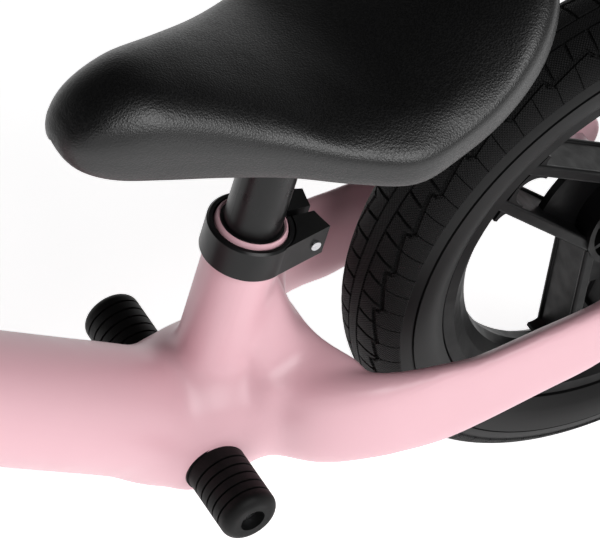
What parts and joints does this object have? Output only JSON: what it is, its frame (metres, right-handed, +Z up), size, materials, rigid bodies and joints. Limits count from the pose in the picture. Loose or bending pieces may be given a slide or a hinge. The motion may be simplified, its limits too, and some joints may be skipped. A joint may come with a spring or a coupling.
{
  "type": "balance bike",
  "caption": "Pedal-free bike for a toddler: cast frame with foot pegs, moulded spoked wheels on air tyres, steering with a stop, and a saddle and handlebar that slide for height",
  "frame": {"origin": "on the ground, midway between the two axles, in the bike's middle plane", "axes": "+X forward, +Y to the rider's left, +Z up"},
  "size_m": [0.905, 0.38, 0.5681],
  "materials": {
    "frame_paint": "satin light pink powder coat over a cast light-alloy frame",
    "black_alloy": "satin black anodised alloy",
    "black_steel_tube": "satin black paint",
    "zinc_steel": "bright zinc plate",
    "steerer_steel": "plain drawn tube",
    "bearing_steel": "ground steel",
    "alloy_core": "turned",
    "black_plastic": "moulded, fine grain",
    "wheel_nylon": "moulded glass-filled nylon, satin",
    "saddle_cover": "fine-grained black leathercloth over foam",
    "grip_rubber": "matte moulded rubber",
    "tyre_rubber": "matte, knurled tread",
    "tube_rubber": "smooth butyl",
    "brass_valve": "plain"
  },
  "bodies": {
    "frame": {"frame": "frame_paint", "seat_collar": "black_alloy", "seat_collar_bolt": "zinc_steel", "seatpost_sleeve": "black_plastic", "left_peg": "grip_rubber", "right_peg": "grip_rubber", "peg_cores": "alloy_core", "peg_bolts": "zinc_steel", "peg_inserts": "zinc_steel", "lower_headset_cup": "black_alloy", "upper_headset_cup": "black_alloy", "headset_outer_races": "bearing_steel", "rear_bearing_inners": "bearing_steel", "rear_hub_spacer": "alloy_core", "rear_end_spacers": "alloy_core", "rear_axle": "zinc_steel", "rear_axle_washers": "zinc_steel", "rear_axle_nuts": "zinc_steel"},
    "fork": {"fork": "frame_paint", "steerer": "steerer_steel", "crown_race": "bearing_steel", "headset_inner_races": "bearing_steel", "headset_cover": "black_alloy", "bar_clamp": "black_alloy", "bar_clamp_bolt": "zinc_steel", "front_bearing_inners": "bearing_steel", "front_hub_spacer": "alloy_core", "front_end_spacers": "alloy_core", "front_axle": "zinc_steel", "front_axle_washers": "zinc_steel", "front_axle_nuts": "zinc_steel"},
    "handlebar": {"handlebar": "black_steel_tube", "left_grip": "grip_rubber", "right_grip": "grip_rubber"},
    "saddle": {"seatpost": "black_steel_tube", "seatpost_plug": "black_plastic", "saddle_base": "black_plastic", "saddle_pad": "saddle_cover", "saddle_bolts": "zinc_steel"},
    "front_wheel": {"front_wheel": "wheel_nylon", "front_tyre": "tyre_rubber", "front_inner_tube": "tube_rubber", "front_valve": "brass_valve", "front_valve_cap": "black_plastic", "front_bearing_outers": "bearing_steel"},
    "rear_wheel": {"rear_wheel": "wheel_nylon", "rear_tyre": "tyre_rubber", "rear_inner_tube": "tube_rubber", "rear_valve": "brass_valve", "rear_valve_cap": "black_plastic", "rear_bearing_outers": "bearing_steel"}
  },
  "joints": [
    {"name": "steering", "type": "hinge", "parent": "frame", "child": "fork", "pos_m": [0.21736, 0, 0.3174], "axis": [-0.3256, 0, 0.9455], "range_deg": [-60, 60]},
    {"name": "handlebar_height", "type": "slide", "parent": "fork", "child": "handlebar", "axis": [-0.3256, 0, 0.9455], "range_m": [-0.02, 0.05]},
    {"name": "seat_height", "type": "slide", "parent": "frame", "child": "saddle", "axis": [-0.2689, 0, 0.9632], "range_m": [-0.022, 0.042]},
    {"name": "front_wheel_spin", "type": "hinge", "parent": "fork", "child": "front_wheel", "pos_m": [0.3025, 0, 0.15], "axis": [0, 1, 0], "continuous": true},
    {"name": "rear_wheel_spin", "type": "hinge", "parent": "frame", "child": "rear_wheel", "pos_m": [-0.3025, 0, 0.15], "axis": [0, 1, 0], "continuous": true}
  ]
}
